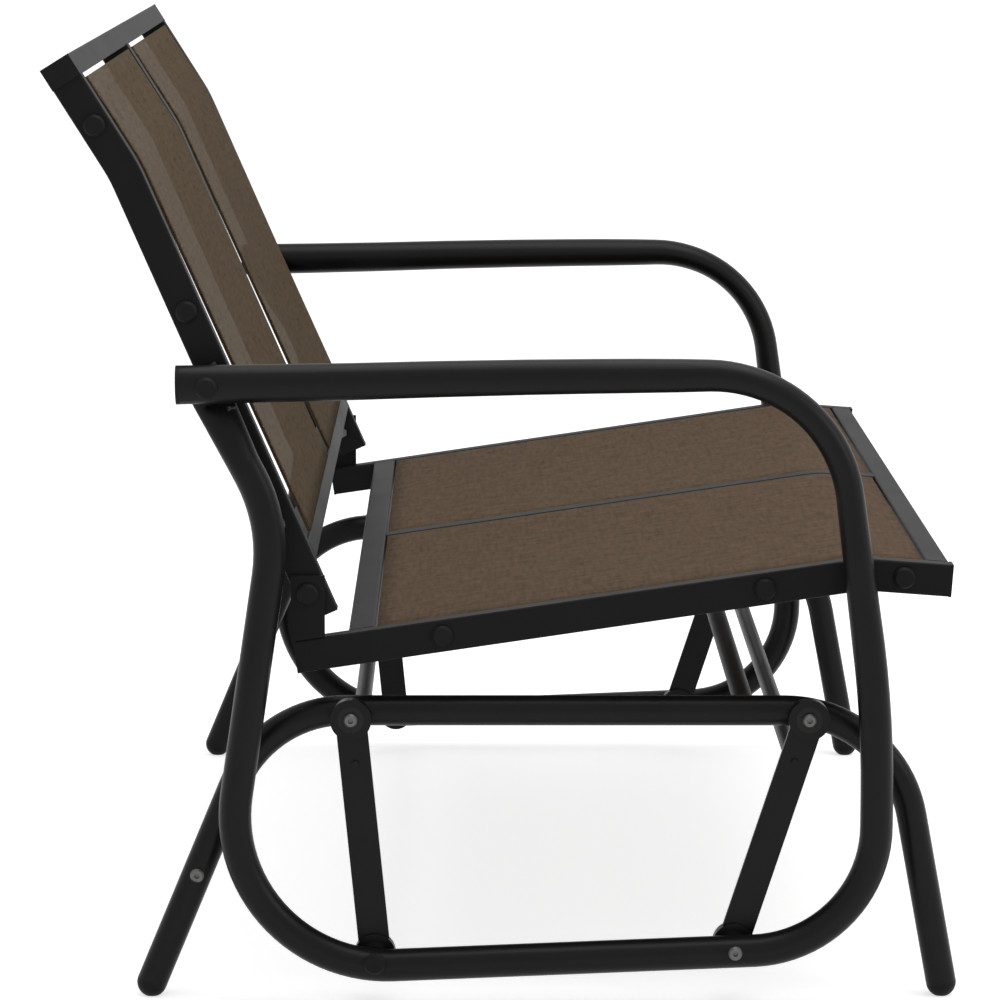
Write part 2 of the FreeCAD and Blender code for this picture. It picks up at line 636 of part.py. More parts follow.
def oval_ring(body, path, name, along, shift, tall, wide):
    sketch = across_path(body, path, name, along)
    if shift != "0":
        shift = "%s(%s)" % ("" if flipped(sketch) else "-", shift)
    add_oval(sketch, shift, tall, wide)
    add_oval(sketch, shift, tall + " - loopwall", wide + " - loopwall")
    return sketch


tip_line = bent_path(loop, "tip_line", [past_knee(KNEEEND), past_knee(KNEEEND + " + pressrun")], [], "loopplane")
tip_start = round_ring(loop, tip_line, "tip_start", 0.0, "looptube", "loopwall")
tip_pressed = oval_ring(loop, tip_line, "tip_pressed", 1.0, TIPSHIFT, "presshalf", TIPHALF)
loft(loop, "tip_press", [tip_start, tip_pressed])
pad(loop, tip_pressed, "sqrt((tiprear - kneerear)^2 + (tiplevel - kneelevel)^2) + tipover - pressrun - (%s)" % KNEEEND,
    reverse=True)
SEATBOLTY = ("armfront + (armfrontlevel - seatboltlevel) * (uprightfront - armfront)"
             " / (armfrontlevel - uprightlevel)")
drill(loop, "loop_holes", [
    (REARLOWY, REARLOWZ, "boltround + boltfit"), (FRONTLOWY, FRONTLOWZ, "boltround + boltfit"),
    ("armboltrear", "armboltlevel", "smallbolt + boltfit")])
drill(loop, "loop_inner_holes", [
    (SEATBOLTY, "seatboltlevel", "smallbolt + boltfit"),
    ("backboltrear", "backboltlevel", "smallbolt + boltfit")], "loopplane")
keep_sides(loop, "loop")

# Plugs in the arms' rear ends
arm_cap = new_body("arm_cap")
cap_line = bent_path(arm_cap, "cap_line", [
    ("armrear", "armrearlevel"),
    ("armrear - armcapstem * cos(%s)" % ARMRISE, "armrearlevel + armcapstem * sin(%s)" % ARMRISE)],
    [], "loopplane")
cap_face = across_path(arm_cap, cap_line, "cap_face")
add_circle(cap_face, "0", "0", "looptube / 2")
pad(arm_cap, cap_face, "armcapthick")
cap_stem = across_path(arm_cap, cap_line, "cap_stem")
add_circle(cap_stem, "0", "0", "looptube / 2 - loopwall - plugfit")
pad(arm_cap, cap_stem, "armcapstem", reverse=True)
keep_pairs("arm_end_caps", [arm_cap])

# Lower pivots: bolt from outside the loop through a washer and the link's bush
lower_washers, lower_nuts = [], []
for tag, y, z in (("rear", REARLOWY, REARLOWZ), ("front", FRONTLOWY, FRONTLOWZ)):
    lower_washers.append(ring("lower_washer_" + tag, BOSSOUT + " + facegap", y, z, "outerwasher",
                              "washerround", "boltround + boltfit"))
    lower_nuts.append(nut("lower_nut_" + tag, BOSSIN + " - facegap - nuthigh", y, z, "nuthigh",
                          "nutround", "boltround"))
LOWREACH = "looptube + outerwasher + bossthick + 3 * facegap + nuthigh + boltend"
keep_pairs("lower_pivot_bolts", [
    plain_bolt("lower_bolt_rear", LOOPOUT, LOWREACH, REARLOWY, REARLOWZ, "boltround"),
    socket_bolt("lower_bolt_front", LOOPOUT, LOWREACH, FRONTLOWY, FRONTLOWZ)])
keep_pairs("lower_pivot_caps", [cap("lower_cap", LOOPOUT, REARLOWY, REARLOWZ)])
keep_pairs("lower_pivot_washers", lower_washers)
keep_pairs("lower_pivot_nuts", lower_nuts)

# Seat frame: two bent side rails, a middle rail and two cross rails, tops flush
CLIPS = [on_seat("seatclipone"), on_seat("seatcliptwo"), on_nose("seatclipthree")]
SMALLHOLE = "smallbolt + boltfit"
seat_side = new_body("seat_side_left")
seat_path = bent_path(seat_side, "seat_path", [
    ("seatrear", "seatrearlevel"), ("seatbend", "seatbendlevel"), ("seatfront", "seatfrontlevel")],
    ["seatround"], SEATOUT + " - railwide / 2")
box_tube(seat_side, seat_path, "railwide", "raildeep")
drill(seat_side, "seat_side_holes", [(y, z, SMALLHOLE) for y, z in CLIPS]
      + [(SEATBOLTY, "seatboltlevel", SMALLHOLE)])
keep_sides(seat_side, "seat_side")
cross_tube("seat_rear_rail", "rearrail", "rearraildeep", SEATIN,
           on_seat("rearrailplace", "(raildeep - rearraildeep) / 2"), "-(%s)" % SEATPITCH)
cross_tube("seat_front_rail", "frontrail", "raildeep", SEATIN, on_nose("frontrail / 2"), NOSEPITCH)
seat_mid = new_body("seat_mid_rail")
mid_path = bent_path(seat_mid, "seat_mid_path", [
    on_seat("rearrailplace + rearrail / 2"), ("seatbend", "seatbendlevel"), on_nose("frontrail")], ["seatround"])
box_tube(seat_mid, mid_path, "midrail", "raildeep")
drill(seat_mid, "seat_mid_holes", [(y, z, SMALLHOLE) for y, z in CLIPS])
keep(seat_mid, "seat_mid_rail")

# Back frame: two bent side rails, top, bottom and middle rails
BACKCLIPS = [on_back("backclipone"), on_head("backcliptwo")]
back_side = new_body("back_side_left")
back_path = bent_path(back_side, "back_path", [
    on_head("toprail"), ("backbend", "backbendlevel"), ("backlow", "backlowlevel")],
    ["backround"], BACKOUT + " - railwide / 2")
box_tube(back_side, back_path, "railwide", "raildeep")
drill(back_side, "back_side_holes", [(y, z, SMALLHOLE) for y, z in BACKCLIPS] + [
    ("postboltrear", "postboltlevel", SMALLHOLE), ("armboltrear", "armboltlevel", SMALLHOLE),
    ("backboltrear", "backboltlevel", SMALLHOLE)])
keep_sides(back_side, "back_side")
cross_tube("back_top_rail", "raildeep", "toprail", BACKOUT, on_head("toprail / 2"), "-(%s)" % HEADLEAN)
cross_tube("back_bottom_rail", "bottomraildeep", "bottomrail", BACKIN,
           on_back("bottomrailplace", "(raildeep - bottomraildeep) / 2"), "-(%s)" % BACKLEAN)
back_mid = new_body("back_mid_rail")
back_mid_path = bent_path(back_mid, "back_mid_path", [
    on_head("toprail"), ("backbend", "backbendlevel"), on_back("bottomrailplace + bottomrail / 2")], ["backround"])
box_tube(back_mid, back_mid_path, "midrail", "raildeep")
drill(back_mid, "back_mid_holes", [(y, z, SMALLHOLE) for y, z in BACKCLIPS])
keep(back_mid, "back_mid_rail")

# Posts: plates welded on the seat rails' tops and bolted to the back rails
post = new_body("seat_post_left")
outline = flat_sketch(post, "post_outline", BACKOUT)


def rail_top(y):
    return "seatrearlevel + (seatrear - %s) * tan(%s) + raildeep / (2 * cos(%s))" % (y, SEATPITCH, SEATPITCH)


corners = [("postfront", rail_top("postfront")), ("postrear", rail_top("postrear")),
           ("postrear", "posttop"), ("postfront", "posttop")]
points = [Vector(value(a), value(b), 0) for a, b in corners]
sides = [outline.addGeometry(Part.LineSegment(points[i], points[(i + 1) % 4]), False) for i in range(4)]
for i in range(4):
    outline.addConstraint(Sketcher.Constraint("Coincident", sides[i], 2, sides[(i + 1) % 4], 1))
    fix_point(outline, sides[i], 1, *corners[i])
pad(post, outline, "postplate")
drill(post, "post_hole", [("postboltrear", "postboltlevel", SMALLHOLE)])
keep_sides(post, "seat_post")

# Plugs in the rails' open ends
plugs = []
for tag, x, point, angle in (
        ("seat_rear", SEATOUT + " - railwide / 2", ("seatrear", "seatrearlevel"), "-(%s)" % SEATPITCH),
        ("seat_front", SEATOUT + " - railwide / 2", ("seatfront", "seatfrontlevel"), "180 + %s" % NOSEPITCH),
        ("back_low", BACKOUT + " - railwide / 2", ("backlow", "backlowlevel"), "-90 - (%s)" % BACKLEAN)):
    plug = fused("plug_" + tag, [
        block("plug_face_" + tag, "-railwide / 2", "0", "-raildeep / 2", "railwide", "endcap", "raildeep"),
        block("plug_stem_" + tag, "railwall + plugfit - railwide / 2", "-endstem",
              "railwall + plugfit - raildeep / 2", "railwide - 2 * railwall - 2 * plugfit", "endstem",
              "raildeep - 2 * railwall - 2 * plugfit")])
    plugs.append(place(plug, x, point[0], point[1], ACROSS, angle))
top_plug = fused("plug_top", [
    block("plug_face_top", "0", "-raildeep / 2", "-toprail / 2", "endcap", "raildeep", "toprail"),
    block("plug_stem_top", "-endstem", "railwall + plugfit - raildeep / 2", "railwall + plugfit - toprail / 2",
          "endstem", "raildeep - 2 * railwall - 2 * plugfit", "toprail - 2 * railwall - 2 * plugfit")])
plugs.append(place(top_plug, BACKOUT, *on_head("toprail / 2"), ACROSS, "-(%s)" % HEADLEAN))
keep_pairs("rail_end_plugs", plugs)

# Sling panels with a steel strip under each long edge; the seat panels lie flush
# with their rails, the back panels stand just proud of theirs
for tag, route, bend, inner, outer, top in (
        ("seat", [on_seat("rearrailplace + rearrail / 2 + seatedge"), ("seatbend", "seatbendlevel"),
                  on_nose("frontrail + seatedge")], "seatround",
         "midrail / 2 + seatgap", SEATIN + " - seatgap", "raildeep / 2"),
        ("back", [on_head("toprail + backedge"), ("backbend", "backbendlevel"),
                  on_back("bottomrailplace + bottomrail / 2 + backedge")], "backround",
         "midrail / 2 + backgap", BACKIN + " - backgap", "raildeep / 2 + backproud")):
    panel = new_body(tag + "_sling_left")
    flat_run(panel, bent_path(panel, tag + "_sling_path", route, [bend]), inner, outer,
             top + " - slingthick", top)
    keep_sides(panel, tag + "_sling")
    strips = []
    for edge, near, far in (("inner", inner, inner + " + stripwide"), ("outer", outer + " - stripwide", outer)):
        strip = new_body(tag + "_strip_" + edge)
        flat_run(strip, bent_path(strip, tag + "_strip_path_" + edge, route, [bend]), near, far,
                 top + " - slingthick - strip", top + " - slingthick")
        strips.append(strip)
    keep_pairs(tag + "_sling_strips", strips)


def clip(name, face, inwards, gap, top, point, angle):
    """An angle clip: one leg on the rail's face, the other under the edge strip."""
    start, tongue = face, face + " + clipsheet"
    if inwards:
        start, tongue = face + " - clipsheet", face + " - %s - clipreach" % gap
    pieces = [
        block(name + "_leg", "0", "-cliplong / 2", "-clipdown", "clipsheet", "cliplong", top + " + clipdown"),
        block(name + "_tongue", "(%s) - (%s)" % (tongue, start), "-cliplong / 2", top + " - clipsheet",
              "%s + clipreach - clipsheet" % gap, "cliplong", "clipsheet")]
    angle_piece = less(name, fused(name + "_bend", pieces),
                       rod(name + "_hole", "-1", "0", "0", "clipsheet + 2", SMALLHOLE))
    return place(angle_piece, start, point[0], point[1], ACROSS, angle)


# Clips, bolts, nuts and caps that hold the strips to the rails
SEATUNDER = "raildeep / 2 - slingthick - strip"
BACKUNDER = "raildeep / 2 + backproud - slingthick - strip"
cap_bolts, cap_nuts, caps, middle = [], [], [], []
CLIPREACH = "railwide + clipsheet + smallnuthigh + boltend"
MIDFACE = "midrail / 2 + clipsheet"
for tag, points, angles, inside, out, gap, top in (
        ("seat", CLIPS, ["-(%s)" % SEATPITCH, "-(%s)" % SEATPITCH, NOSEPITCH], SEATIN, SEATOUT, "seatgap", SEATUNDER),
        ("back", BACKCLIPS, ["90 - (%s)" % BACKLEAN, "90 - (%s)" % HEADLEAN], BACKIN, BACKOUT, "backgap", BACKUNDER)):
    clips = []
    for i, (point, angle) in enumerate(zip(points, angles)):
        name = "%s_clip_%d" % (tag, i)
        clips.append(clip(name + "_side", inside, True, gap, top, point, angle))
        clips.append(clip(name + "_middle", "midrail / 2", False, gap, top, point, angle))
        cap_bolts.append(plain_bolt(name + "_bolt", out, CLIPREACH, point[0], point[1], "smallbolt"))
        caps.append(cap(name + "_cap", out, point[0], point[1]))
        cap_nuts.append(nut(name + "_nut", inside + " - clipsheet - smallnuthigh", point[0], point[1],
                            "smallnuthigh", "smallnut", "smallbolt"))
        middle.append(plain_bolt(name + "_long", MIDFACE, "2 * (%s) + smallnuthigh + boltend" % MIDFACE,
                                 point[0], point[1], "smallbolt"))
        middle.append(nut(name + "_long_nut", "-(%s) - smallnuthigh" % MIDFACE, point[0], point[1],
                          "smallnuthigh", "smallnut", "smallbolt"))
    keep_pairs(tag + "_sling_clips", clips)
keep(together("middle_rail_bolts", middle), "middle_rail_bolts")

# The post's and the arm's bolts share the same caps
cap_bolts.append(plain_bolt("post_bolt", SEATOUT, "postplate + railwide + smallnuthigh + boltend",
                            "postboltrear", "postboltlevel", "smallbolt"))
caps.append(cap("post_cap", SEATOUT, "postboltrear", "postboltlevel"))
cap_bolts.append(plain_bolt("arm_bolt", LOOPOUT, "looptube + seatspacer + postplate + railwide + smallnuthigh"
                            " + boltend", "armboltrear", "armboltlevel", "smallbolt"))
caps.append(cap("arm_cap_round", LOOPOUT, "armboltrear", "armboltlevel"))
for tag, y, z in (("post", "postboltrear", "postboltlevel"), ("arm", "armboltrear", "armboltlevel")):
    cap_nuts.append(nut(tag + "_nut", BACKIN + " - smallnuthigh", y, z, "smallnuthigh", "smallnut", "smallbolt"))
keep_pairs("cap_bolts", cap_bolts)
keep_pairs("cap_nuts", cap_nuts)
keep_pairs("bolt_caps", caps)

# Spacers and bolts that hold the seat and back rails to the loops
keep_pairs("frame_spacers", [
    ring("seat_spacer", SEATOUT, SEATBOLTY, "seatboltlevel", "seatspacer", "spacerround", SMALLHOLE),
    ring("back_spacer", BACKOUT, "backboltrear", "backboltlevel", "seatspacer + postplate", "spacerround",
         SMALLHOLE)])
frame_bolts = []
for tag, inside, run, y, z in (
        ("seat", SEATIN, "railwide + seatspacer + boltbite", SEATBOLTY, "seatboltlevel"),
        ("back", BACKIN, "railwide + seatspacer + postplate + boltbite", "backboltrear", "backboltlevel")):
    frame_bolts.append(fused(tag + "_frame_bolt", [
        rod(tag + "_frame_head", inside + " - smallheadhigh", y, z, "smallheadhigh", "smallhead"),
        rod(tag + "_frame_shank", inside, y, z, run, "smallbolt")]))
keep_pairs("frame_bolts", frame_bolts)

doc.recompute()
for item in doc.Objects:
    if "Invalid" in item.State or "Error" in item.State:
        raise RuntimeError("%s failed: %s" % (item.Name, item.State))
for item in nodes:
    if item.Shape.isNull() or not item.Shape.isValid():
        raise RuntimeError(item.Label + " has no valid shape")
os.makedirs("parts", exist_ok=True)
for item in nodes:
    item.Shape.exportStep("parts/%s.step" % item.Label)
print(len(nodes), "nodes")
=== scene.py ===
import bmesh
import bpy
import math
from mathutils import Matrix, Vector


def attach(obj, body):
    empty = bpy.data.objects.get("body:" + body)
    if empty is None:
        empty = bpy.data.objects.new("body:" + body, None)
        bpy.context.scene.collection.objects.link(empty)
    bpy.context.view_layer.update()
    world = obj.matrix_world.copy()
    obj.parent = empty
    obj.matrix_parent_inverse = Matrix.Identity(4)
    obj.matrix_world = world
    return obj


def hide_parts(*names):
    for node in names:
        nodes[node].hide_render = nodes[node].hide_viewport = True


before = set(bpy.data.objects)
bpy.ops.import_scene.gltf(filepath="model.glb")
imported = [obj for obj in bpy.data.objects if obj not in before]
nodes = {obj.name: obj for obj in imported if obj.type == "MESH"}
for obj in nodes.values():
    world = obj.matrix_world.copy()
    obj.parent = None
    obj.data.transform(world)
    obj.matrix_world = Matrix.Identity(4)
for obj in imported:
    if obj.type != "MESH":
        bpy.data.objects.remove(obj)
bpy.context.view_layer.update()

# Studio: a white floor that runs out of sight, an even pale sky and one broad soft
# lamp over the bench, with a weaker one in front of it. The camera stands far off the
# sitter's right-hand end, a little above the seat, as in the photograph.
camera = bpy.data.objects.new("camera", bpy.data.cameras.new("camera"))
bpy.context.collection.objects.link(camera)
camera.location = (-4.549, 0.03, 1.0811)
camera.rotation_euler = (math.radians(82.831), math.radians(-0.089),
                         math.radians(-90.362))
camera.data.sensor_width = 36
camera.data.lens = 159.2
camera.data.shift_y = -0.12
camera.data.clip_end = 200
bpy.context.scene.camera = camera
bpy.context.scene.view_settings.view_transform = "Standard"


def made_of(bm, name, material):
    """The finished shape as an object of that name and material, in its place."""
    mesh = bpy.data.meshes.new(name)
    bm.to_mesh(mesh)
    bm.free()
    mesh.materials.append(material)
    made = bpy.data.objects.new(name, mesh)
    bpy.context.collection.objects.link(made)
    return made


def new_material(name):
    """An empty material, its nodes and its shader."""
    material = bpy.data.materials.new(name)
    material.use_nodes = True
    tree = material.node_tree
    return material, tree, tree.nodes["Principled BSDF"]


def seen_rays(tree):
    """1 for rays by which the white is seen, 0 for those that light the bench."""
    rays = tree.nodes.new("ShaderNodeLightPath")
    seen = rays.outputs["Is Camera Ray"]
    for kind in ("Is Glossy Ray", "Is Transmission Ray"):
        either = tree.nodes.new("ShaderNodeMath")
        either.operation = "MAXIMUM"
        tree.links.new(seen, either.inputs[0])
        tree.links.new(rays.outputs[kind], either.inputs[1])
        seen = either.outputs[0]
    return seen


white_floor, tree, paint = new_material("white_floor")
paint.inputs["Base Color"].default_value = (0.8, 0.8, 0.8, 1)
paint.inputs["Roughness"].default_value = 0.9
paint.inputs["Specular IOR Level"].default_value = 0.1
paint.inputs["Emission Color"].default_value = (1, 1, 1, 1)
lift = tree.nodes.new("ShaderNodeMath")
lift.operation = "MULTIPLY"
lift.inputs[1].default_value = 0.62
tree.links.new(seen_rays(tree), lift.inputs[0])
tree.links.new(lift.outputs[0], paint.inputs["Emission Strength"])
bm = bmesh.new()
bmesh.ops.create_grid(bm, x_segments=1, y_segments=1, size=60)
floor = made_of(bm, "floor", white_floor)

world = bpy.data.worlds.new("studio")
bpy.context.scene.world = world
world.use_nodes = True
tree = world.node_tree
sky = tree.nodes["Background"]
sky.inputs["Color"].default_value = (1, 1, 1, 1)
glow = tree.nodes.new("ShaderNodeMapRange")
glow.inputs["To Min"].default_value = 0.6
glow.inputs["To Max"].default_value = 1.0
tree.links.new(seen_rays(tree), glow.inputs["Value"])
tree.links.new(glow.outputs["Result"], sky.inputs["Strength"])


def softbox(name, place, aim, size, power):
    lamp = bpy.data.lights.new(name, "AREA")
    lamp.shape = "DISK"
    lamp.size = size
    lamp.energy = power
    stand = bpy.data.objects.new(name, lamp)
    bpy.context.collection.objects.link(stand)
    stand.location = place
    facing = Vector(aim) - Vector(place)
    stand.rotation_euler = facing.to_track_quat("-Z", "Y").to_euler()


softbox("overhead", (-0.3, -0.4, 3.2), (0, 0, 0.4), 2.8, 55)
softbox("front", (-1.6, -3.4, 2.0), (0, 0, 0.5), 2.0, 22)


# Base sides and swing links: bent steel tube and pressed links, powder coated in a
# brown-black, as the loops are. The coat is matt, with a fine orange peel and a few
# dull patches. The screws through the links are coated with them.
def powder_coat(name, colour, roughness, specular, peel=0.1):
    coat, tree, paint = new_material(name)
    paint.inputs["Specular IOR Level"].default_value = specular
    where = tree.nodes.new("ShaderNodeTexCoord")
    grain = tree.nodes.new("ShaderNodeTexNoise")
    grain.inputs["Scale"].default_value = 900
    grain.inputs["Detail"].default_value = 3
    patches = tree.nodes.new("ShaderNodeTexNoise")
    patches.inputs["Scale"].default_value = 9
    patches.inputs["Detail"].default_value = 4
    tone = tree.nodes.new("ShaderNodeValToRGB")
    dark, light = tone.color_ramp.elements
    dark.position = 0.35
    dark.color = tuple(0.85 * c for c in colour) + (1,)
    light.position = 0.65
    light.color = tuple(1.15 * c for c in colour) + (1,)
    gloss = tree.nodes.new("ShaderNodeMapRange")
    gloss.inputs["To Min"].default_value = roughness - 0.05
    gloss.inputs["To Max"].default_value = roughness + 0.07
    bump = tree.nodes.new("ShaderNodeBump")
    bump.inputs["Strength"].default_value = peel
    bump.inputs["Distance"].default_value = 0.0004
    for texture in (grain, patches):
        tree.links.new(where.outputs["Object"], texture.inputs["Vector"])
    tree.links.new(patches.outputs["Fac"], tone.inputs["Fac"])
    tree.links.new(tone.outputs["Color"], paint.inputs["Base Color"])
    tree.links.new(patches.outputs["Fac"], gloss.inputs["Value"])
    tree.links.new(gloss.outputs["Result"], paint.inputs["Roughness"])
    tree.links.new(grain.outputs["Fac"], bump.inputs["Height"])
    tree.links.new(bump.outputs["Normal"], paint.inputs["Normal"])
    return coat


def dress(material, *names):
    for name in names:
        mesh = nodes[name].data
        mesh.materials.clear()
        mesh.materials.append(material)


tube_coat = powder_coat("tube_coat", (0.0058, 0.0057, 0.0056),
                        roughness=0.34, specular=0.13)
dress(tube_coat, "base_side_left", "base_side_right",
      "front_link_left", "front_link_right", "rear_link_left", "rear_link_right",
      "front_link_screws", "rear_link_screws")

# Cross tubes under the seat: round steel tube, one welded between the base sides and
# two screwed to the links. The welded one's coat is a little lighter and less glossy
# than the loops'; the link tubes' is much lighter, as painted light for the highlights
# along them.
base_tube_coat = powder_coat("base_tube_coat", (0.008, 0.0079, 0.0078),
                             roughness=0.45, specular=0.06)
dress(base_tube_coat, "base_cross_tube")
# Painted light: the link tubes' coat is a lighter copy of the loops' coat, standing in
# for the highlight they catch.
link_tube_painted_light_coat = powder_coat("link_tube_painted_light_coat", (0.014, 0.0138, 0.0136),
                             roughness=0.4, specular=0.105)
dress(link_tube_painted_light_coat, "front_link_tube", "rear_link_tube")

# Seat and back rails: rectangular steel tube, welded and powder coated, a little less
# glossy than the loops. The seat's clips and the strips that hold its fabric's edges
# have the same coat.
rail_coat = powder_coat("rail_coat", (0.0078, 0.0077, 0.0076),
                        roughness=0.5, specular=0.09)
dress(rail_coat, "seat_side_left", "seat_side_right", "seat_mid_rail",
      "seat_front_rail", "seat_rear_rail", "seat_post_left", "seat_post_right",
      "back_side_left", "back_side_right", "back_mid_rail", "back_top_rail",
      "back_bottom_rail", "seat_sling_clips", "seat_sling_strips")

# Plastic caps over the bolt heads, plugs in the rails' and legs' open ends: moulded
# black polypropylene with a fine spark-eroded texture, pressed on or in.
moulded = powder_coat("moulded", (0.009, 0.009, 0.0092),
                      roughness=0.5, specular=0.09, peel=0.2)
dress(moulded, "bolt_caps", "lower_pivot_caps", "foot_plugs", "rail_end_plugs")

# Arms: the loops' tube is rolled oval along the arm, tallest at its rear end and
# slimmest round the front bend, so each loop and the plugs in its rear ends are drawn
# over the frame's own tube, with the section pulled up or in across the tube's run.
arm_tip, arm_front = 0.298, -0.186
arm_slope, arm_tip_level = 0.01725, 0.5773
bend_hub, bend_radius = Vector((0, -0.1879, 0.4582)), 0.1274
upright_top, upright_front, upright_lean = 0.4751, -0.3142, 0.1332


def section_height(point):
    """How tall the tube is here against the round one, and where its middle runs."""
    heights = ((0.30, 1.185), (-0.12, 1.045), (-0.16, 1.015), (arm_front, 0.975))
    if point.y > arm_front:
        level = arm_tip_level + arm_slope * (arm_tip - point.y)
        for (rear, tall), (front, low) in zip(heights, heights[1:]):
            if point.y >= front:
                share = min(1, (point.y - front) / (rear - front))
                return low + (tall - low) * share, Vector((point.x, point.y, level))
    hub = Vector((point.x, bend_hub.y, bend_hub.z))
    out = point - hub
    turned = math.degrees(math.atan2(-out.y, out.z))
    if turned < 83:
        slimmer = 0.107 * math.sin(math.radians(90 * min(1, turned / 50)))
        return 0.975 - slimmer, hub + out.normalized() * bend_radius
    below = upright_top - point.z
    middle = Vector((point.x, upright_front - upright_lean * below, point.z))
    return 0.87 + 0.13 * min(1, max(0, below / 0.08)), middle


loop_inside = 0.5655
arm_underside, upright_end = 0.556, 0.39
bow, trimmed = 0.0017, 0.0047
for name, node, finish, slot in (
        ("arm_loop_left", "loop_left", tube_coat, "frame_metal"),
        ("arm_loop_right", "loop_right", tube_coat, "frame_metal"),
        ("arm_end_plugs", "arm_end_caps", moulded, "black_plastic")):
    bm = bmesh.new()
    bm.from_mesh(nodes[node].data)
    bmesh.ops.remove_doubles(bm, verts=bm.verts, dist=1e-6)
    for cut in (0.22, 0.14, 0.06, -0.02, -0.08, -0.12, -0.16):
        arm = [f for f in bm.faces if max(v.co.z for v in f.verts) > 0.56]
        edges = list(dict.fromkeys(e for f in arm for e in f.edges))
        corners = list(dict.fromkeys(v for f in arm for v in f.verts))
        bmesh.ops.bisect_plane(bm, geom=arm + edges + corners, dist=1e-6,
                               plane_co=(0, cut, 0), plane_no=(0, 1, 0))
    for v in bm.verts:
        front_side = v.co.y < -0.15 and v.co.z > upright_end
        if abs(v.co.x) > loop_inside and (front_side or v.co.z > arm_underside):
            height, middle = section_height(v.co)
            v.co = middle + (v.co - middle) * height
            v.co.z += bow * max(0, 1 - ((v.co.y + 0.03) / 0.19) ** 2)
            v.co.y -= trimmed * max(0, v.co.y - 0.2) / 0.102
    for face in bm.faces:
        face.smooth = True
    for edge in bm.edges:
        edge.smooth = edge.calc_face_angle(0) < math.radians(32)
    drawn = made_of(bm, name, finish)
    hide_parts(node)
    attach(drawn, "glider")

# Bushes and washers in the pivots: turned black nylon, a little waxy, pressed
# into the links' bosses and stacked beside them.
nylon = powder_coat("nylon", (0.009, 0.009, 0.0092),
                    roughness=0.42, specular=0.18, peel=0.05)
dress(nylon, "front_link_bushes", "rear_link_bushes",
      "upper_pivot_washers", "lower_pivot_washers")


# Bolts, nuts and spacers: turned steel, zinc plated and gone dull in soft clouds.
# The socket heads that show at the pivots and rear legs have one plating, and what
# sits behind the caps and inside the rails has another, paler one.
def zinc_plate(name, colour):
    plate, tree, metal = new_material(name)
    metal.inputs["Metallic"].default_value = 1.0
    where = tree.nodes.new("ShaderNodeTexCoord")
    cloud = tree.nodes.new("ShaderNodeTexNoise")
    cloud.inputs["Scale"].default_value = 260
    cloud.inputs["Detail"].default_value = 3
    tone = tree.nodes.new("ShaderNodeValToRGB")
    dark, light = tone.color_ramp.elements
    dark.color = tuple(0.75 * c for c in colour) + (1,)
    light.color = colour + (1,)
    gloss = tree.nodes.new("ShaderNodeMapRange")
    gloss.inputs["To Min"].default_value = 0.37
    gloss.inputs["To Max"].default_value = 0.55
    tree.links.new(where.outputs["Object"], cloud.inputs["Vector"])
    tree.links.new(cloud.outputs["Fac"], tone.inputs["Fac"])
    tree.links.new(tone.outputs["Color"], metal.inputs["Base Color"])
    tree.links.new(cloud.outputs["Fac"], gloss.inputs["Value"])
    tree.links.new(gloss.outputs["Result"], metal.inputs["Roughness"])
    return plate


dress(zinc_plate("bright_zinc", (0.13, 0.129, 0.127)),
      "upper_pivot_bolts", "leg_bolts", "lower_pivot_bolts")
dress(zinc_plate("dull_zinc", (0.17, 0.17, 0.17)),
      "upper_pivot_nuts", "leg_nuts", "lower_pivot_nuts", "cap_bolts", "cap_nuts",
      "middle_rail_bolts", "frame_bolts", "frame_spacers")


